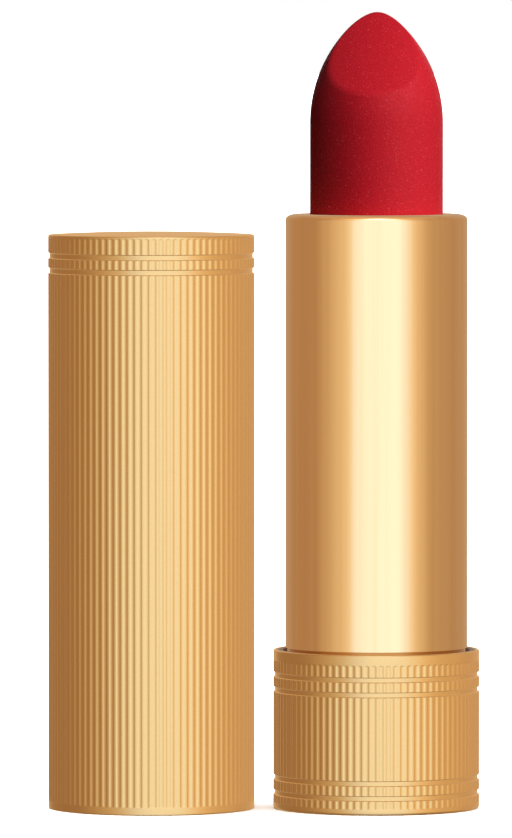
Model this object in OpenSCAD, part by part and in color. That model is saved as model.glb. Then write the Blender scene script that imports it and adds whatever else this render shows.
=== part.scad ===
// Twist-up lipstick case in fluted gold metal: the lipstick stands with its bullet raised,
// and its cap stands mouth down beside it. Z is up and the table is at z = 0.

/* [Case] */
// Outside diameter of the base and of the cap
case_d = 19.7; // [19.6:0.1:20.3]
// Height of the base
base_h = 15.2; // [14.6:0.1:16]
// Height of the cap
cap_h = 55.1; // [54.4:0.1:60]
// Distance between the axis of the lipstick and the axis of the cap beside it
axis_gap = 21.5; // [20.5:0.5:40]

/* [Flutes and rings] */
// Number of flutes round the base and the cap
flutes = 90; // [60:1:100]
// Depth of one flute
flute_depth = 0.06; // [0.04:0.01:0.1]
// Radius of the hollow of one flute
flute_hollow_r = 0.6; // [0.4:0.05:0.7]
// Depth of the ring grooves
ring_depth = 0.15; // [0.12:0.01:0.25]
// Distance between the two rings of a pair
ring_pitch = 1.42; // [1.2:0.02:1.6]
// Width of the ring grooves on the base
base_ring_w = 0.54; // [0.3:0.02:0.7]
// Width of the ring grooves on the cap
cap_ring_w = 0.58; // [0.3:0.02:0.7]

/* [Tube and mechanism] */
// Outside diameter of the polished tube
tube_d = 17.4; // [17.3:0.05:17.5]
// Height of the tube's lip above the table
tube_top = 56.8; // [56.4:0.1:58]
// Wall of the polished tube
tube_wall = 0.39; // [0.35:0.01:0.45]
// Wall of the spiral sleeve
sleeve_wall = 0.74; // [0.7:0.01:0.8]
// Depth of the helical grooves in the sleeve
helix_depth = 0.52; // [0.45:0.01:0.6]
// Rise of a helical groove in one turn
helix_lead = 14; // [12:1:14]
// Wall of the guide tube
guide_wall = 0.6; // [0.5:0.02:0.62]
// Diameter of the two lugs on the cup
lug_d = 1.8; // [1.5:0.1:1.8]
// Travel of the bullet from raised to lowered
travel = 21; // [18:1:21]

/* [Bullet] */
// Diameter of the bullet
bullet_d = 12.7; // [12.1:0.1:12.7]
// Height above the table where the bullet starts to narrow
nose_z = 65.5; // [64:0.1:66]
// Radius of the arc that the nose follows
nose_arc_r = 13; // [12:0.5:16]
// Height of the lowest point of the slanted face
face_z = 68.3; // [67:0.1:69]
// Slope of the slanted face
face_slope = 48.5; // [40:0.5:52]
// Turn of the slanted face towards the cap
face_turn = 5; // [-10:1:10]
// Radius of the slanted face's curve from side to side
face_arc_r = 13; // [12:1:20]

/* [Fits] */
// Radial gap between pieces that are pressed or glued together
press_gap = 0.01; // [0.01:0.01:0.02]
// Radial gap between the turning sleeve and the guide tube
turn_gap = 0.06; // [0.04:0.01:0.08]
// Radial gap between the sliding cup and the guide tube
slide_gap = 0.08; // [0.05:0.01:0.1]
// Radial gap between the cap's liner and the tube, with the cap on
cap_gap = 0.05; // [0.05:0.01:0.1]
// Gap along the axis between pieces that turn on each other, and beside the lugs
axial_gap = 0.1; // [0.08:0.01:0.12]

/* [Hidden] */
$fn = 144;
eps = 0.5;

gold = [0.85, 0.66, 0.42];
bright_gold = [0.93, 0.76, 0.5];
bullet_red = [0.68, 0.08, 0.14];
steel = [0.6, 0.6, 0.62];

lip_x = axis_gap / 2;
cap_x = -axis_gap / 2;

// Radii, from the outside in
case_r = case_d / 2;
ring_r = case_r - ring_depth;
base_bore_r = case_r - 0.35;
cap_bore_r = case_r - 0.45;
tube_r = tube_d / 2;
tube_bore_r = tube_r - tube_wall;
neck_r = tube_r - 0.2;
sleeve_r = tube_bore_r - press_gap;
sleeve_bore_r = sleeve_r - sleeve_wall;
helix_r = sleeve_bore_r + helix_depth;
guide_r = sleeve_bore_r - turn_gap;
guide_bore_r = guide_r - guide_wall;
cup_r = guide_bore_r - slide_gap;
bullet_r = bullet_d / 2;
cup_bore_r = bullet_r + press_gap;
lug_tip_r = helix_r - 0.13;
liner_bore_r = tube_r + cap_gap;
liner_r = cap_bore_r - press_gap;
collar_bore_r = tube_r + 0.25;
flange_r = tube_bore_r - 0.06;
mouth_r = bullet_r + 0.2;

// Heights in the base, from the table up
foot_h = 0.35;
floor_z = foot_h + 0.6;
weight_z = floor_z + 3;
guide_z = weight_z + 1;
ledge_z = base_h - 2.5;
collar_z = base_h - 0.06;
flange_z = ledge_z + 0.8;
tube_z = flange_z + axial_gap;
neck_z = base_h + 0.2;
sleeve_z = tube_top - 2.1;
lip_t = 0.4;
lip_round = 0.7;

// The carriage, with the bullet raised
lug_z = 41;
cup_z = lug_z - 2;
cup_floor_z = lug_z + 1.8;
bullet_z = cup_floor_z + 1;
cup_top = tube_top - 1.2;
slot_w = lug_d + 2 * axial_gap;

// The inside of the cap
liner_z = 0.3;
liner_top = cap_h - 3.5;
weight_gap = cap_h - 0.5;

// Smooth bands and ring centres: the base has a pair of rings at each end, and the cap has one pair
base_foot_band = 0.55;
base_rim_band = 0.95;
cap_mouth_band = 0.85;
cap_top_band = 0.2;
base_rings = [1.6, 1.6 + ring_pitch, base_h - 2.35 - ring_pitch, base_h - 2.35];
cap_rings = [cap_h - 2.25 - ring_pitch, cap_h - 2.25];

// Fluted stretches between low and high, broken by the rings
function flute_spans(low, high, rings, w) =
    [for (i = [0 : len(rings)])
        [i == 0 ? low : rings[i - 1] + w / 2, i == len(rings) ? high : rings[i] - w / 2]];

module at_lipstick() {
    translate([lip_x, 0, 0]) children();
}

module at_cap() {
    translate([cap_x, 0, 0]) children();
}

module ring(outer, inner, low, high) {
    translate([0, 0, low]) linear_extrude(high - low) difference() {
        circle(outer);
        circle(inner);
    }
}

module disc(radius, low, high) {
    translate([0, 0, low]) cylinder(r = radius, h = high - low);
}

module fluted_outline() {
    difference() {
        circle(case_r);
        for (i = [0 : flutes - 1]) rotate(i * 360 / flutes)
            translate([case_r - flute_depth + flute_hollow_r, 0]) circle(flute_hollow_r, $fn = 32);
    }
}

module fluted_bands(spans) {
    for (span = spans) translate([0, 0, span[0]]) linear_extrude(span[1] - span[0]) fluted_outline();
}

// A disc with its lower or its upper outside edge rounded
module rounded_band(low, high, round_low, round_high) {
    rotate_extrude() {
        translate([0, low]) square([case_r - round_low, round_low + eps / 10]);
        translate([0, low + round_low]) square([case_r, high - low - round_low - round_high]);
        translate([0, high - round_high - eps / 10]) square([case_r - round_high, round_high + eps / 10]);
        translate([case_r - round_low, low + round_low]) circle(round_low);
        translate([case_r - round_high, high - round_high]) circle(round_high);
    }
}

module base_shell() {
    color(gold) at_lipstick() difference() {
        union() {
            disc(ring_r, base_foot_band, base_h - base_rim_band);
            rounded_band(0, base_foot_band, 0.3, 0.02);
            rounded_band(base_h - base_rim_band, base_h, 0.02, 0.15);
            fluted_bands(flute_spans(base_foot_band, base_h - base_rim_band, base_rings, base_ring_w));
        }
        disc(base_bore_r - 0.75, -eps, foot_h);
        disc(base_bore_r, floor_z, base_h + eps);
    }
}

module shade_label() {
    color("white") at_lipstick() disc(base_bore_r - 0.95, foot_h - 0.1, foot_h);
}

module base_weight() {
    color(steel) at_lipstick() ring(base_bore_r - 0.05, 2, floor_z, weight_z);
}

// A moulded plug with a collar, a ledge for the guide tube's flange, and pockets between ribs below
module base_insert() {
    plug_r = base_bore_r - press_gap;
    socket_r = guide_r + press_gap;
    color([0.78, 0.78, 0.79]) at_lipstick() difference() {
        disc(plug_r, weight_z, collar_z);
        disc(socket_r, guide_z, collar_z);
        disc(collar_bore_r, ledge_z, collar_z + eps);
        translate([0, 0, weight_z - eps]) linear_extrude(ledge_z - 1 - weight_z + eps) difference() {
            circle(plug_r - 0.55);
            circle(socket_r + 0.5);
            for (i = [0 : 3]) rotate(i * 45) square([2 * case_r, 0.8], center = true);
        }
    }
}

// The fixed inner tube: a flange at the ledge, a bead above the sleeve, and a slot for each lug
module guide_tube() {
    slot_low = lug_z - travel;
    color([0.9, 0.9, 0.88]) at_lipstick() difference() {
        union() {
            disc(guide_r, guide_z, sleeve_z + axial_gap + 0.6);
            disc(flange_r, ledge_z, flange_z);
            disc(guide_r + 0.35, sleeve_z + axial_gap, sleeve_z + axial_gap + 0.6);
        }
        disc(guide_bore_r, guide_z - eps, tube_top);
        rotate([90, 0, 90]) linear_extrude(4 * guide_r, center = true) {
            translate([0, slot_low]) circle(slot_w / 2 + 0.02);
            translate([0, lug_z]) circle(slot_w / 2 + 0.02);
            translate([-slot_w / 2, slot_low]) square([slot_w, travel]);
        }
    }
}

// Soft ring that rubs on the guide tube and gives the twist its drag
module drag_ring() {
    thick_r = 0.25;
    color([0.15, 0.15, 0.16]) at_lipstick() translate([0, 0, flange_z + thick_r + 0.05])
        rotate_extrude() translate([guide_r + thick_r + 0.03, 0]) circle(thick_r);
}

// Corners of a helical groove's section at one angle: inside low, outside low, outside high, inside high
function helix_section(angle, start, half_h) =
    let (z = lug_z + helix_lead * angle / 360, c = cos(angle + start), s = sin(angle + start),
         inner = sleeve_bore_r - 0.3)
    [[inner * c, inner * s, z - half_h], [helix_r * c, helix_r * s, z - half_h],
     [helix_r * c, helix_r * s, z + half_h], [inner * c, inner * s, z + half_h]];

module helix_groove(start) {
    over_run = 8;
    step = 8;
    turn = 360 * travel / helix_lead;
    rings = ceil((turn + 2 * over_run) / step);
    half_h = slot_w / 2 / cos(atan(helix_lead / (2 * PI * helix_r)));
    points = [for (i = [0 : rings])
        each helix_section(over_run - i * (turn + 2 * over_run) / rings, start, half_h)];
    sides = [for (i = [0 : rings - 1], k = [0 : 3])
        [4 * i + k, 4 * i + 4 + k, 4 * i + 4 + (k + 1) % 4, 4 * i + (k + 1) % 4]];
    last = 4 * rings;
    polyhedron(points, concat([[0, 1, 2, 3]], sides, [[last + 3, last + 2, last + 1, last]]));
}

// The turning sleeve, fixed in the polished tube: two right-hand grooves carry the lugs up and down
module spiral_sleeve() {
    color([0.82, 0.82, 0.8]) at_lipstick() difference() {
        ring(sleeve_r, sleeve_bore_r, tube_z, sleeve_z);
        disc(guide_r + 0.55, tube_z - eps, tube_z + 0.5);
        helix_groove(0);
        helix_groove(180);
    }
}

module tube_shell() {
    color(bright_gold) at_lipstick() rotate_extrude() difference() {
        union() {
            translate([mouth_r + lip_t / 2, tube_z]) square([neck_r - mouth_r - lip_t / 2, neck_z - tube_z]);
            translate([mouth_r + lip_t / 2, neck_z])
                square([tube_r - mouth_r - lip_t / 2, tube_top - lip_round - neck_z]);
            translate([mouth_r + lip_t / 2, tube_top - lip_round - eps])
                square([tube_r - lip_round - mouth_r - lip_t / 2, lip_round + eps]);
            translate([tube_r - lip_round, tube_top - lip_round]) circle(lip_round);
            translate([mouth_r + lip_t / 2, tube_top - lip_t / 2]) circle(lip_t / 2);
        }
        translate([mouth_r - eps, tube_z - eps]) square([tube_bore_r - mouth_r + eps, tube_top - lip_t - tube_z + eps]);
    }
}

module cup() {
    color([0.88, 0.88, 0.86]) at_lipstick() difference() {
        union() {
            disc(cup_r, cup_z, cup_top);
            translate([0, 0, lug_z]) rotate([0, 90, 0]) cylinder(d = lug_d, h = 2 * lug_tip_r, center = true, $fn = 48);
        }
        disc(cup_bore_r, bullet_z, cup_top + eps);
        disc(cup_r - 1, cup_z - eps, cup_floor_z);
        disc(2, cup_floor_z - eps, bullet_z + eps);
    }
}

// A cylinder with an ogive nose, cut by a slanted face that is slightly rounded across
module bullet() {
    face_y = nose_arc_r - bullet_r - sqrt(pow(nose_arc_r, 2) - pow(face_z - nose_z, 2));
    color(bullet_red) at_lipstick() difference() {
        union() {
            disc(bullet_r, bullet_z, nose_z);
            rotate_extrude() intersection() {
                translate([bullet_r - nose_arc_r, nose_z]) circle(nose_arc_r, $fn = 720);
                translate([0, nose_z]) square([bullet_r, nose_arc_r]);
            }
        }
        rotate([0, 0, -face_turn]) translate([0, face_y, face_z]) rotate([face_slope, 0, 0]) difference() {
            translate([-bullet_d, -bullet_d, -1.5]) cube([2 * bullet_d, 4 * bullet_d, bullet_d]);
            translate([0, -2 * bullet_d, -face_arc_r]) rotate([-90, 0, 0])
                cylinder(r = face_arc_r, h = 8 * bullet_d, $fn = 360);
        }
    }
}

module cap_shell() {
    edge_round = 0.18;
    crown = 0.25;
    shoulder_z = cap_h - crown - edge_round;
    crown_r = (pow(case_r - edge_round, 2) + pow(crown, 2)) / (2 * crown);
    color(gold) at_cap() difference() {
        union() {
            disc(ring_r, cap_mouth_band, shoulder_z);
            rounded_band(0, cap_mouth_band, 0.15, 0.02);
            fluted_bands(flute_spans(cap_mouth_band, cap_h - cap_top_band - crown, cap_rings, cap_ring_w));
            rotate_extrude() {
                translate([0, cap_h - cap_top_band - crown]) square([case_r, cap_top_band - edge_round]);
                intersection() {
                    translate([0, cap_h - crown_r]) circle(crown_r, $fn = 2880);
                    translate([0, shoulder_z - eps / 4]) square([case_r - edge_round, 1]);
                }
                translate([case_r - edge_round, shoulder_z]) circle(edge_round);
            }
        }
        disc(cap_bore_r, -eps, weight_gap);
    }
}

// Plastic lining that slides over the tube, with shallow channels that let the air out
module cap_liner() {
    channels = 8;
    color([0.2, 0.2, 0.21]) at_cap() difference() {
        disc(liner_r, liner_z, liner_top);
        translate([0, 0, liner_z - eps]) linear_extrude(liner_top - 1 - liner_z + eps) {
            circle(liner_bore_r);
            for (i = [0 : channels / 2 - 1]) rotate((i + 0.5) * 360 / channels)
                square([2 * liner_bore_r + 0.4, 0.8], center = true);
        }
    }
}

module cap_weight() {
    color(steel) at_cap() disc(cap_bore_r - 0.05, liner_top, weight_gap);
}

base_shell();
base_insert();
base_weight();
shade_label();
guide_tube();
drag_ring();
spiral_sleeve();
tube_shell();
cup();
bullet();
cap_shell();
cap_liner();
cap_weight();
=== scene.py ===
# Looks of the fluted gold lipstick case, built around its CAD frame. Lengths are in metres.
from math import cos, degrees, pi, radians, sin, sqrt

import bpy
import numpy as np
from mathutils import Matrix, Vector


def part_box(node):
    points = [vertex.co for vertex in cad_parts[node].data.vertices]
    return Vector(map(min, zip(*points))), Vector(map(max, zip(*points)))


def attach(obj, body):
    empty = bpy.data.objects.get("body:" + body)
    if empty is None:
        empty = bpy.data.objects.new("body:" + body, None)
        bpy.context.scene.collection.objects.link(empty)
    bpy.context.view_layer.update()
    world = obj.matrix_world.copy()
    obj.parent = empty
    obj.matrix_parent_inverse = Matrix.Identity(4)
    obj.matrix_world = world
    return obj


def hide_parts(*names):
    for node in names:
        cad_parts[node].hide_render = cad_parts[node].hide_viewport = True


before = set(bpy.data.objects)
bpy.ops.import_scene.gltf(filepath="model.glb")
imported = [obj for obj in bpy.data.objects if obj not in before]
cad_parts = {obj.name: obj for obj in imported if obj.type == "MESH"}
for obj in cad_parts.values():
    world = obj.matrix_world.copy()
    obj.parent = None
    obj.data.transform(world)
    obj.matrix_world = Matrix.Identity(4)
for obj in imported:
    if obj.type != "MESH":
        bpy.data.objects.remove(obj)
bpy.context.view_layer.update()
MM = 0.001

# ---------------------------------------------------------------- places and sizes, from the frame


def axis_of(node):
    low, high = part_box(node)
    return Vector(((low.x + high.x) / 2, (low.y + high.y) / 2, 0))


def radius_of(node):
    low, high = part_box(node)
    return (high.x - low.x) / 2


LIP = axis_of("base_shell")
CAP = axis_of("cap_shell")
CASE_R = radius_of("base_shell")
TUBE_R = radius_of("tube_shell")
BULLET_R = radius_of("bullet")
BASE_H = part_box("base_shell")[1].z
CAP_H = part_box("cap_shell")[1].z
TUBE_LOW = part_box("tube_shell")[0].z
TUBE_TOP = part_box("tube_shell")[1].z
BULLET_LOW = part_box("bullet")[0].z
# Radial gap between pieces that are pressed together
PRESS_GAP = 0.01 * MM

# ---------------------------------------------------------------- camera

CAMERA_DISTANCE = 0.95
CAMERA_HEIGHT = 0.0785
# Height of what the picture takes in, at the target
PICTURE_HEIGHT = 0.08005
TARGET = Vector((-0.75 * MM, 0, 37.21 * MM))


def make_camera():
    data = bpy.data.cameras.new("camera")
    camera = bpy.data.objects.new("camera", data)
    bpy.context.scene.collection.objects.link(camera)
    camera.location = (TARGET.x, -CAMERA_DISTANCE, CAMERA_HEIGHT)
    sight = TARGET - camera.location
    camera.rotation_euler = sight.to_track_quat("-Z", "Y").to_euler()
    data.sensor_width = 36
    data.lens = data.sensor_width * sight.length / PICTURE_HEIGHT
    data.clip_start = 0.01
    data.clip_end = 50
    bpy.context.scene.camera = camera


# ---------------------------------------------------------------- mesh helpers


def mesh_object(name, points, faces, sharp_angle=50):
    mesh = bpy.data.meshes.new(name)
    mesh.from_pydata([tuple(p) for p in points], [], faces)
    mesh.validate()
    mesh.polygons.foreach_set("use_smooth", [True] * len(mesh.polygons))
    mesh.set_sharp_from_angle(angle=radians(sharp_angle))
    mesh.update()
    piece = bpy.data.objects.new(name, mesh)
    bpy.context.scene.collection.objects.link(piece)
    return piece


def turned(name, axis, rows, steps, cut=None, sharp_angle=50):
    """A closed solid of revolution round a vertical axis. rows are (radius, z, is_outside) in order round
    the section, and cut(angles, z) is how far the outside is cut in there."""
    points = []
    starts = []
    for radius, z, outside in rows:
        starts.append(len(points))
        if radius == 0:
            points.append((axis.x, axis.y, z))
            continue
        depth = cut(steps, z) if cut and outside else np.zeros(len(steps))
        points.extend(np.column_stack([
            axis.x + (radius - depth) * np.cos(steps),
            axis.y + (radius - depth) * np.sin(steps),
            np.full(len(steps), z),
        ]))
    count = len(steps)
    faces = []
    pairs = list(zip(range(len(rows)), range(1, len(rows))))
    if rows[0][0] > 0:
        pairs.append((len(rows) - 1, 0))
    for a, b in pairs:
        for k in range(count):
            n = (k + 1) % count
            low = (starts[a],) if rows[a][0] == 0 else (starts[a] + k, starts[a] + n)
            high = (starts[b],) if rows[b][0] == 0 else (starts[b] + n, starts[b] + k)
            faces.append(low + high)
    return mesh_object(name, points, faces, sharp_angle)


def even_steps(count):
    return np.arange(count) * 2 * pi / count


def arc(centre_r, centre_z, radius, start, end, count, outside=True, rise=None):
    """Section points on an arc, angles in degrees from outwards, upwards positive.
    With rise, its height, it is part of an ellipse."""
    return [
        (centre_r + radius * cos(radians(a)), centre_z + (rise or radius) * sin(radians(a)), outside)
        for a in np.linspace(start, end, count)
    ]


# ---------------------------------------------------------------- flutes and ring grooves

FLUTES = 90
FLUTE_DEPTH = 0.06 * MM
# Radius of the hollow, half its width at the surface, and the length of its round end
FLUTE_HOLLOW = 0.6 * MM
FLUTE_HALF = sqrt(FLUTE_HOLLOW**2 - (FLUTE_HOLLOW - FLUTE_DEPTH) ** 2)
FLUTE_END = 0.17 * MM
RING_DEPTH = 0.15 * MM
RING_PITCH = 1.42 * MM
RING_SLOPE = 0.07 * MM


def flute_steps():
    """Angles that follow each hollow closely, with one on each ridge and one on either side of it."""
    across = [-0.5, -0.43, -0.38, -0.28, -0.14, 0, 0.14, 0.28, 0.38, 0.43]
    return np.array([(i + t) * 2 * pi / FLUTES for i in range(FLUTES) for t in across])


def fluted_cut(low, high, rings, ring_w):
    """How deep the flutes between low and high and the ring grooves across them are, as a function."""
    pitch = 2 * pi / FLUTES

    def cut(angles, z):
        across = (angles / pitch - np.round(angles / pitch)) * pitch * CASE_R
        past = max(0.0, low + FLUTE_END - z, z - high + FLUTE_END) * FLUTE_HALF / FLUTE_END
        flute = np.sqrt(np.maximum(FLUTE_HOLLOW**2 - across**2 - past**2, 0)) - FLUTE_HOLLOW + FLUTE_DEPTH
        inside = max(ring_w / 2 - abs(z - ring) for ring in rings)
        groove = RING_DEPTH * min(max(inside / RING_SLOPE, 0), 1)
        return np.maximum(np.maximum(flute, groove), 0)

    return cut


def fluted_heights(low, high, rings, ring_w):
    """Heights of the rows that the flutes' ends and the ring grooves' slopes need, with more between them."""
    longest = 3 * MM
    ends = [share * FLUTE_END for share in (-0.3, 0, 0.12, 0.3, 0.5, 0.7, 0.88, 1, 1.3)]
    heights = [low + end for end in ends] + [high - end for end in ends]
    slope = [-0.02 * MM, 0, 0.015 * MM, RING_SLOPE - 0.015 * MM, RING_SLOPE, RING_SLOPE + 0.03 * MM]
    for ring in rings:
        for inwards in slope:
            heights += [ring - ring_w / 2 + inwards, ring + ring_w / 2 - inwards]
    heights = sorted(set(heights))
    filled = []
    for a, b in zip(heights, heights[1:]):
        parts = max(1, round((b - a) / longest))
        filled += [a + (b - a) * k / parts for k in range(parts)]
    return filled + [heights[-1]]


def make_base_shell():
    """The cup of the base, with two ring grooves near each end and a recess under it for the label."""
    low_ring, high_ring = 1.6 * MM, BASE_H - 2.35 * MM
    rings = [low_ring, low_ring + RING_PITCH, high_ring - RING_PITCH, high_ring]
    low, high, ring_w = 0.55 * MM, BASE_H - 0.95 * MM, 0.54 * MM
    inside_r = radius_of("base_insert") + PRESS_GAP
    floor_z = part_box("base_weight")[0].z
    recess_r = inside_r - 0.75 * MM
    recess_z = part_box("shade_label")[1].z
    foot_round, rim_round, bore_round = 0.3 * MM, 0.15 * MM, 0.08 * MM
    rows = [(0, floor_z, False), (inside_r, floor_z, False), (inside_r, BASE_H - bore_round, False)]
    rows += arc(inside_r + bore_round, BASE_H - bore_round, bore_round, 180, 90, 4, False)
    rows += arc(CASE_R - rim_round, BASE_H - rim_round, rim_round, 90, 0, 6, False)
    rows += [(CASE_R, z, True) for z in reversed(fluted_heights(low, high, rings, ring_w))]
    rows += arc(CASE_R - foot_round, foot_round, foot_round, 0, -90, 8, False)
    rows += [(recess_r, 0, False), (recess_r, recess_z, False), (0, recess_z, False)]
    return turned("base_fluted", LIP, rows, flute_steps(), fluted_cut(low, high, rings, ring_w))


def make_cap_shell():
    """The cap, mouth down, with two ring grooves near its closed end and a slightly crowned top."""
    high_ring = CAP_H - 2.25 * MM
    rings = [high_ring - RING_PITCH, high_ring]
    crown, edge_round, mouth_round, bore_round = 0.25 * MM, 0.18 * MM, 0.15 * MM, 0.06 * MM
    low, high, ring_w = 0.72 * MM, CAP_H - 0.2 * MM - crown, 0.58 * MM
    inside_r = radius_of("cap_liner")
    inside_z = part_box("cap_weight")[1].z
    shoulder_r, shoulder_z = CASE_R - edge_round, CAP_H - crown - edge_round
    rows = [(0, inside_z, False), (inside_r, inside_z, False), (inside_r, bore_round, False)]
    rows += arc(inside_r + bore_round, bore_round, bore_round, 180, 270, 4, False)
    rows += arc(CASE_R - mouth_round, mouth_round, mouth_round, -90, 0, 6, False)
    rows += [(CASE_R, z, True) for z in fluted_heights(low, high, rings, ring_w)]
    rows += arc(shoulder_r, shoulder_z, edge_round, 0, 88, 10, False)
    for share in (0.985, 0.94, 0.85, 0.7, 0.5, 0.3, 0.1, 0.02, 0):
        rows.append((shoulder_r * share, CAP_H - crown * share**2, False))
    rows.reverse()
    return turned("cap_fluted", CAP, rows, flute_steps(), fluted_cut(low, high, rings, ring_w))


# ---------------------------------------------------------------- polished tube


NECK_Z = BASE_H + 0.2 * MM


def make_tube():
    """The tube, whose lip turns in over a flat rim, and its narrower neck, which goes down into the base."""
    neck_r, edge = TUBE_R - 0.2 * MM, 0.04 * MM
    bore_r = radius_of("spiral_sleeve") + PRESS_GAP
    mouth_r = BULLET_R + 0.2 * MM
    lip_t, lip_round, lip_drop, rim_w = 0.4 * MM, 0.9 * MM, 0.55 * MM, 0.3 * MM
    rows = [(bore_r, TUBE_LOW, False), (bore_r, TUBE_TOP - lip_t, False)]
    rows += arc(mouth_r + lip_t / 2, TUBE_TOP - lip_t / 2, lip_t / 2, 270, 90, 12, False)
    rows += [(TUBE_R - lip_round - rim_w, TUBE_TOP, False)]
    rows += arc(TUBE_R - lip_round, TUBE_TOP - lip_drop, lip_round, 90, 0, 16, False, lip_drop)
    rows += [(TUBE_R, z, False) for z in (TUBE_TOP - lip_drop - edge, NECK_Z + 2 * edge)]
    rows += arc(TUBE_R - edge, NECK_Z + edge, edge, 0, -90, 4, False)
    rows += [(neck_r + edge, NECK_Z, False), (neck_r, NECK_Z, False), (neck_r, TUBE_LOW, False)]
    return turned("tube_polished", LIP, rows, even_steps(288))


# ---------------------------------------------------------------- bullet

# Radius of the nose's arc, and the height where the nose starts
NOSE_ARC = 13 * MM
NOSE_Z = 65.5 * MM
# Height of the face's lowest point, its slope, its turn towards the cap and its radius from side to side
FACE_Z = 68.3 * MM
FACE_SLOPE = radians(48.5)
FACE_TURN = radians(5)
FACE_ARC = 13 * MM
# Width of the soft edge between the face and the nose, and of the edge at the bullet's foot
FACE_SOFTNESS = 0.2 * MM
FOOT_EDGE = 0.1 * MM


def nose_reach(way):
    """How far the nose reaches from its middle in each of the unit directions in way."""
    inset = NOSE_ARC - BULLET_R
    low_r = sqrt(NOSE_ARC**2 - (FACE_Z - NOSE_Z) ** 2) - inset
    tilt = np.array([-sin(FACE_SLOPE) * sin(FACE_TURN), -sin(FACE_SLOPE) * cos(FACE_TURN), cos(FACE_SLOPE)])
    on_face = np.array([-low_r * sin(FACE_TURN), -low_r * cos(FACE_TURN), FACE_Z - NOSE_Z])
    across = np.array([cos(FACE_TURN), -sin(FACE_TURN), 0])
    below = tilt @ on_face - FACE_ARC
    level = np.hypot(way[:, 0], way[:, 1])
    ogive = -inset * level + np.sqrt((inset * level) ** 2 + NOSE_ARC**2 - inset**2)
    facing, aside = way @ tilt, way @ across
    spread = facing**2 + aside**2
    root = np.sqrt((facing * below) ** 2 - spread * (below**2 - FACE_ARC**2))
    face = (facing * below + root) / spread
    near = np.maximum(FACE_SOFTNESS - np.abs(ogive - face), 0) / FACE_SOFTNESS
    return np.minimum(ogive, face) - near**2 * FACE_SOFTNESS / 4


def make_bullet():
    """A straight body and an ogive nose, with a slanted, slightly rounded face that has a soft edge."""
    count = 360
    steps = even_steps(count)
    middle = np.array([0, 0, NOSE_Z])
    points, starts = [], []
    body = [(BULLET_R - FOOT_EDGE, BULLET_LOW)]
    body += [(BULLET_R, z) for z in np.linspace(BULLET_LOW + FOOT_EDGE, NOSE_Z - 0.3 * MM, 12)]
    for radius, z in body:
        starts.append(len(points))
        points.extend(np.column_stack([radius * np.cos(steps), radius * np.sin(steps), np.full(count, z)]))
    for climb in np.linspace(0, radians(89.6), 170):
        starts.append(len(points))
        level = cos(climb)
        way = np.column_stack([level * np.cos(steps), level * np.sin(steps), np.full(count, sin(climb))])
        points.extend(way * nose_reach(way)[:, None] + middle)
    top = len(points)
    upwards = np.array([[0, 0, 1.0]])
    points.append(upwards[0] * nose_reach(upwards)[0] + middle)
    faces = [list(range(count - 1, -1, -1))]
    for a, b in zip(starts, starts[1:]):
        faces += [(a + k, a + (k + 1) % count, b + (k + 1) % count, b + k) for k in range(count)]
    faces += [(starts[-1] + k, starts[-1] + (k + 1) % count, top) for k in range(count)]
    return mesh_object("bullet_red", np.array(points) + np.array(LIP), faces, 60)


# ---------------------------------------------------------------- materials


class Nodes:
    """A material's node tree, with short ways to add nodes and link them."""

    def __init__(self, name):
        self.material = bpy.data.materials.new(name)
        self.material.use_nodes = True
        self.tree = self.material.node_tree
        self.shader = self.tree.nodes["Principled BSDF"]

    def add(self, kind, **settings):
        node = self.tree.nodes.new(kind)
        for key, value in settings.items():
            if key in node.inputs:
                node.inputs[key].default_value = value
            else:
                setattr(node, key, value)
        return node

    def link(self, source, target):
        self.tree.links.new(source, target)

    def set(self, **values):
        for key, value in values.items():
            self.shader.inputs[key.replace("_", " ")].default_value = value

    def place(self):
        """The point's place on its own piece, in metres."""
        return self.add("ShaderNodeTexCoord").outputs["Object"]

    def noise(self, scale, detail=3.0, roughness=0.55, vector=None):
        node = self.add("ShaderNodeTexNoise", Scale=scale, Detail=detail, Roughness=roughness)
        self.link(vector or self.place(), node.inputs["Vector"])
        return node.outputs["Fac"]

    def stretched(self, x, y, z):
        node = self.add("ShaderNodeMapping")
        node.inputs["Scale"].default_value = (x, y, z)
        self.link(self.place(), node.inputs["Vector"])
        return node.outputs["Vector"]

    def spread(self, source, low, high, from_low=0.3, from_high=0.7):
        """Source, mapped from its own range, which is about 0.3 to 0.7 for a noise, to low and high."""
        node = self.add("ShaderNodeMapRange")
        limits = {"From Min": from_low, "From Max": from_high, "To Min": low, "To Max": high}
        for key, value in limits.items():
            node.inputs[key].default_value = value
        self.link(source, node.inputs["Value"])
        return node.outputs["Result"]

    def ramp(self, source, stops):
        node = self.add("ShaderNodeValToRGB")
        node.color_ramp.elements.remove(node.color_ramp.elements[1])
        for k, (place, colour) in enumerate(stops):
            stop = node.color_ramp.elements[0] if k == 0 else node.color_ramp.elements.new(place)
            stop.position = place
            stop.color = (*colour, 1)
        self.link(source, node.inputs["Fac"])
        return node.outputs["Color"]

    def colour(self, source, *stops):
        self.link(self.ramp(source, stops), self.shader.inputs["Base Color"])

    def roughness(self, source, low, high):
        self.link(self.spread(source, low, high), self.shader.inputs["Roughness"])

    def bump(self, source, distance, strength=1.0):
        node = self.add("ShaderNodeBump", Strength=strength, Distance=distance)
        self.link(source, node.inputs["Height"])
        self.link(node.outputs["Normal"], self.shader.inputs["Normal"])


def satin_gold():
    """Anodised aluminium with a bead-blasted skin."""
    m = Nodes("satin_gold")
    m.set(Metallic=1.0)
    grain = m.noise(9000, 2)
    m.colour(grain, (0.3, (0.68, 0.455, 0.23)), (0.7, (0.73, 0.49, 0.255)))
    m.roughness(grain, 0.30, 0.33)
    m.bump(m.noise(14000, 2), 0.0003 * MM)
    return m.material


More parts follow.
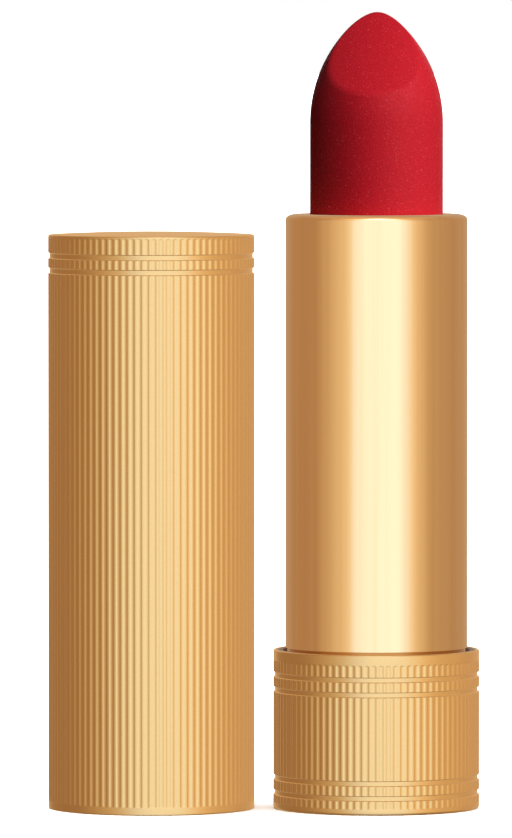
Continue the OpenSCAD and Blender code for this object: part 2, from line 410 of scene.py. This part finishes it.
def bright_gold():
    """Polished anodised aluminium with faint draw marks along it, and painted shade on its neck, where it
    goes down into the gap above the base's rim.
    """
    m = Nodes("bright_gold")
    m.set(Metallic=1.0, Coat_Weight=0.5, Coat_Roughness=0.08)
    marks = m.noise(1.0, 3, 0.6, m.stretched(900, 900, 6))
    tone = m.ramp(marks, [(0.3, (0.87, 0.60, 0.35)), (0.5, (0.93, 0.66, 0.41)), (0.7, (0.95, 0.70, 0.45))])
    # Painted shade: below the tube's lower edge the neck is coloured a dark brown gold, standing in for the
    # shade in the gap above the base's rim.
    height = m.add("ShaderNodeSeparateXYZ")
    m.link(m.place(), height.inputs["Vector"])
    neck_shade_top = NECK_Z + 0.01 * MM
    above_neck_shade = m.spread(height.outputs["Z"], 0, 1, neck_shade_top - 0.02 * MM, neck_shade_top)
    neck_shade_mix = m.add("ShaderNodeMix", data_type="RGBA")
    m.link(above_neck_shade, neck_shade_mix.inputs["Factor"])
    neck_shade_mix.inputs["A"].default_value = (0.50, 0.20, 0.05, 1)
    m.link(tone, neck_shade_mix.inputs["B"])
    m.link(neck_shade_mix.outputs["Result"], m.shader.inputs["Base Color"])
    m.roughness(marks, 0.10, 0.14)
    m.bump(marks, 0.0015 * MM)
    return m.material


def red_wax():
    """Matte red with a fine grain and scattered light flecks."""
    m = Nodes("red_wax")
    grain = m.noise(6000, 3, 0.65)
    m.colour(grain, (0.3, (0.50, 0.006, 0.015)), (0.55, (0.62, 0.008, 0.020)),
             (0.66, (0.66, 0.014, 0.028)), (0.72, (0.80, 0.14, 0.16)))
    m.roughness(m.noise(2500, 3), 0.5, 0.65)
    m.set(Specular_IOR_Level=0.13, Sheen_Weight=0.035, Sheen_Roughness=0.6)
    m.bump(grain, 0.05 * MM, 0.8)
    return m.material


def moulded_plastic(name, colour, low=0.4, high=0.55):
    """Moulded plastic, slightly uneven in colour, with a roughness between low and high."""
    m = Nodes(name)
    dim = tuple(c * 0.93 for c in colour)
    m.colour(m.noise(200, 3), (0.3, dim), (0.7, colour))
    m.roughness(m.noise(1200, 3), low, high)
    m.bump(m.noise(9000, 2), 0.002 * MM)
    return m.material


def turned_steel():
    """Bare steel with fine marks round it from the lathe."""
    m = Nodes("turned_steel")
    m.set(Metallic=1.0)
    m.colour(m.noise(150, 3), (0.3, (0.46, 0.46, 0.48)), (0.7, (0.58, 0.58, 0.6)))
    m.roughness(m.noise(1.0, 4, vector=m.stretched(400, 400, 12000)), 0.28, 0.42)
    m.bump(m.noise(1.0, 3, vector=m.stretched(500, 500, 9000)), 0.002 * MM)
    return m.material


def label_paper():
    """Blank off-white paper with a fine fibre."""
    m = Nodes("label_paper")
    fibre = m.noise(1.0, 5, 0.7, m.stretched(2500, 6000, 2500))
    m.colour(fibre, (0.3, (0.80, 0.79, 0.76)), (0.7, (0.90, 0.89, 0.87)))
    m.roughness(fibre, 0.7, 0.85)
    m.bump(fibre, 0.004 * MM)
    return m.material


# ---------------------------------------------------------------- studio


def make_floor(name, tone, height, seen):
    """A pale floor. The camera sees one, and light bounces off a dimmer one that it doesn't see."""
    size = 8
    corners = [(-size, -size, height), (size, -size, height), (size, size, height), (-size, size, height)]
    floor = mesh_object(name, corners, [(0, 1, 2, 3)])
    m = Nodes(name)
    m.colour(m.noise(3, 2), (0.3, [tone * 0.97] * 3), (0.7, [tone] * 3))
    m.set(Roughness=0.9, Specular_IOR_Level=0.1)
    floor.data.materials.append(m.material)
    floor.visible_camera = seen
    floor.visible_diffuse = not seen
    floor.visible_glossy = False
    return floor


# Colour of the wall of light by direction, in degrees from the camera's side, positive to the right
WALL_STOPS = [
    (-180, (0.56, 0.38, 0.23)),
    (-130, (0.49, 0.30, 0.15)),
    (-84, (0.49, 0.30, 0.15)),
    (-70, (0.62, 0.43, 0.23)),
    (-54, (0.76, 0.57, 0.32)),
    (-36, (0.96, 0.80, 0.50)),
    (-26, (1.10, 1.20, 1.15)),
    (-16, (1.25, 1.40, 1.40)),
    (28, (1.25, 1.40, 1.40)),
    (36, (1.12, 1.22, 1.15)),
    (46, (0.99, 0.82, 0.52)),
    (56, (0.79, 0.58, 0.32)),
    (76, (0.58, 0.40, 0.21)),
    (115, (0.51, 0.33, 0.175)),
    (180, (0.56, 0.38, 0.23)),
]
# Radius, height and strength of the wall's rings, from the bottom of its bowl below the floor to the top
WALL_RINGS = [
    (0.01, -0.22, 0.45),
    (0.14, -0.19, 0.72),
    (0.24, -0.12, 0.88),
    (0.24, 0.00, 0.98),
    (0.24, 0.09, 1.00),
    (0.24, 0.16, 1.00),
    (0.20, 0.25, 1.00),
    (0.11, 0.31, 1.50),
    (0.01, 0.33, 1.90),
]


def make_wall():
    """A closed round wall of light, which the camera doesn't see, that gives the metal its bands."""
    count = 180
    angles = np.linspace(-pi, pi, count + 1)
    row = count + 1
    points = [(LIP.x + r * sin(a), -r * cos(a), z) for r, z, _ in WALL_RINGS for a in angles]
    faces = [(j * row + k, j * row + k + 1, (j + 1) * row + k + 1, (j + 1) * row + k)
             for j in range(len(WALL_RINGS) - 1) for k in range(count)]
    wall = mesh_object("light_wall", points, faces)
    glow = wall.data.color_attributes.new("glow", "FLOAT_COLOR", "POINT")
    directions = [stop[0] for stop in WALL_STOPS]
    for k in range(len(points)):
        share = WALL_RINGS[k // row][2]
        colour = [np.interp(degrees(angles[k % row]), directions, [stop[1][c] for stop in WALL_STOPS])
                  for c in range(3)]
        glow.data[k].color = (*[share * float(c) for c in colour], 1)
    material = bpy.data.materials.new("light_wall")
    material.use_nodes = True
    tree = material.node_tree
    tree.nodes.clear()
    out = tree.nodes.new("ShaderNodeOutputMaterial")
    light = tree.nodes.new("ShaderNodeEmission")
    value = tree.nodes.new("ShaderNodeAttribute")
    value.attribute_name = "glow"
    tree.links.new(value.outputs["Color"], light.inputs["Color"])
    tree.links.new(light.outputs["Emission"], out.inputs["Surface"])
    material.cycles.emission_sampling = "NONE"
    wall.data.materials.append(material)
    wall.visible_camera = False
    wall.visible_diffuse = False
    wall.visible_shadow = False
    return wall


def add_light(name, kind, place, aim):
    light = bpy.data.objects.new(name, bpy.data.lights.new(name, kind))
    bpy.context.scene.collection.objects.link(light)
    light.location = place
    light.rotation_euler = (Vector(aim) - Vector(place)).to_track_quat("-Z", "Y").to_euler()
    light.visible_camera = False
    return light


def softbox(name, place, aim, width, depth, radiance):
    """A rectangular area light of the stated radiance."""
    light = add_light(name, "AREA", place, aim)
    light.data.shape = "RECTANGLE"
    light.data.size, light.data.size_y = width, depth
    light.data.energy = radiance * pi * width * depth
    return light


def side_panel(name, direction, colour):
    """An upright panel just inside the wall of light, of the stated radiance in each colour."""
    distance, width, height, middle_z = 0.20, 0.217, 0.36, 0.06
    place = Vector((distance * sin(radians(direction)), -distance * cos(radians(direction)), middle_z))
    light = softbox(name, place, (0, 0, middle_z), width, height, 1.0)
    light.data.color = colour
    return light


def floor_light():
    """A wide soft light from above that keeps the floor white."""
    light = add_light("floor_light", "SUN", (0, 0, 2), (0, 0, 0))
    light.data.energy = 9
    light.data.angle = radians(80)
    return light


def group_of(name, things):
    group = bpy.data.collections.new(name)
    for thing in things:
        group.objects.link(thing)
    return group


def light_only(lights, receivers, blockers=None):
    """Makes the lights fall on the receivers only. If blockers is stated, only those objects shade them."""
    for light in lights:
        light.light_linking.receiver_collection = group_of(light.name + "_receivers", receivers)
        if blockers:
            light.light_linking.blocker_collection = group_of(light.name + "_blockers", blockers)


def make_world():
    """White behind the floor for the camera, and nearly dark for all other rays."""
    world = bpy.data.worlds.new("studio")
    bpy.context.scene.world = world
    world.use_nodes = True
    tree = world.node_tree
    back = tree.nodes["Background"]
    path = tree.nodes.new("ShaderNodeLightPath")
    level = tree.nodes.new("ShaderNodeMapRange")
    level.inputs["To Min"].default_value = 0.05
    level.inputs["To Max"].default_value = 1.0
    tree.links.new(path.outputs["Is Camera Ray"], level.inputs["Value"])
    tree.links.new(level.outputs["Result"], back.inputs["Strength"])
    back.inputs["Color"].default_value = (1, 1, 1, 1)


# ---------------------------------------------------------------- build

make_camera()
bpy.context.scene.view_settings.view_transform = "Standard"
seen_floor = make_floor("floor", 0.9, 0, True)
felt_floor = make_floor("bounce_floor", 0.45, -0.2 * MM, False)
wall = make_wall()
side_lights = [
    side_panel("warm_front", 18, (0.16, 0.13, 0.05)),
    side_panel("warm_side", 73, (0.36, 0.29, 0.17)),
    side_panel("warm_back", 128, (0.30, 0.23, 0.14)),
    side_panel("warm_rear", 183, (0.34, 0.27, 0.14)),
]
wax_lights = [
    softbox("wax_key", (0.26, -0.26, 0.28), (0.01, 0, 0.065), 0.40, 0.30, 5.7),
    softbox("wax_side", (0.40, -0.05, 0.07), (0.01, 0, 0.06), 0.30, 0.30, 1.2),
    softbox("wax_rear", (0.05, 0.45, 0.20), (0.01, 0, 0.06), 0.40, 0.40, 2.0),
]
plastic_lights = [
    softbox("plastic_key", (0.10, -0.45, 0.40), (0, 0, 0.02), 0.60, 0.40, 2.5),
    softbox("plastic_fill", (-0.30, 0.40, 0.40), (0, 0, 0.02), 0.60, 0.40, 1.5),
]
make_world()
light_only([floor_light()], [seen_floor])

gold = satin_gold()
shine = bright_gold()
wax = red_wax()

pieces = [
    (make_base_shell(), "base", "base_shell", "satin_gold", gold),
    (make_cap_shell(), "cap", "cap_shell", "satin_gold", gold),
    (make_tube(), "tube", "tube_shell", "bright_gold", shine),
    (make_bullet(), "carriage", "bullet", "red_wax", wax),
]
for piece, body, node, slot, material in pieces:
    piece.data.materials.append(material)
    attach(piece, body)
    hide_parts(node)

CAD_LOOKS = {
    "base_insert": moulded_plastic("insert_plastic", (0.62, 0.58, 0.55)),
    "guide_tube": moulded_plastic("guide_plastic", (0.80, 0.80, 0.77)),
    "spiral_sleeve": moulded_plastic("sleeve_plastic", (0.78, 0.78, 0.75)),
    "cup": moulded_plastic("cup_plastic", (0.80, 0.80, 0.78)),
    "cap_liner": moulded_plastic("liner_plastic", (0.03, 0.03, 0.033)),
    "drag_ring": moulded_plastic("ring_rubber", (0.02, 0.02, 0.02), 0.6, 0.8),
    "base_weight": turned_steel(),
    "cap_weight": turned_steel(),
    "shade_label": label_paper(),
}
for node, material in CAD_LOOKS.items():
    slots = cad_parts[node].data.materials
    slots.clear()
    slots.append(material)

base, cap, tube, bullet = [piece for piece, *_ in pieces]
inner_parts = [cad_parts[node] for node in CAD_LOOKS]
for thing in [base, cap, tube, bullet] + inner_parts:
    thing.visible_glossy = False
light_only([wall], [base, cap, tube])
light_only(side_lights, [base, cap], [wall])
light_only(wax_lights, [bullet])
light_only(plastic_lights, inner_parts + [felt_floor])
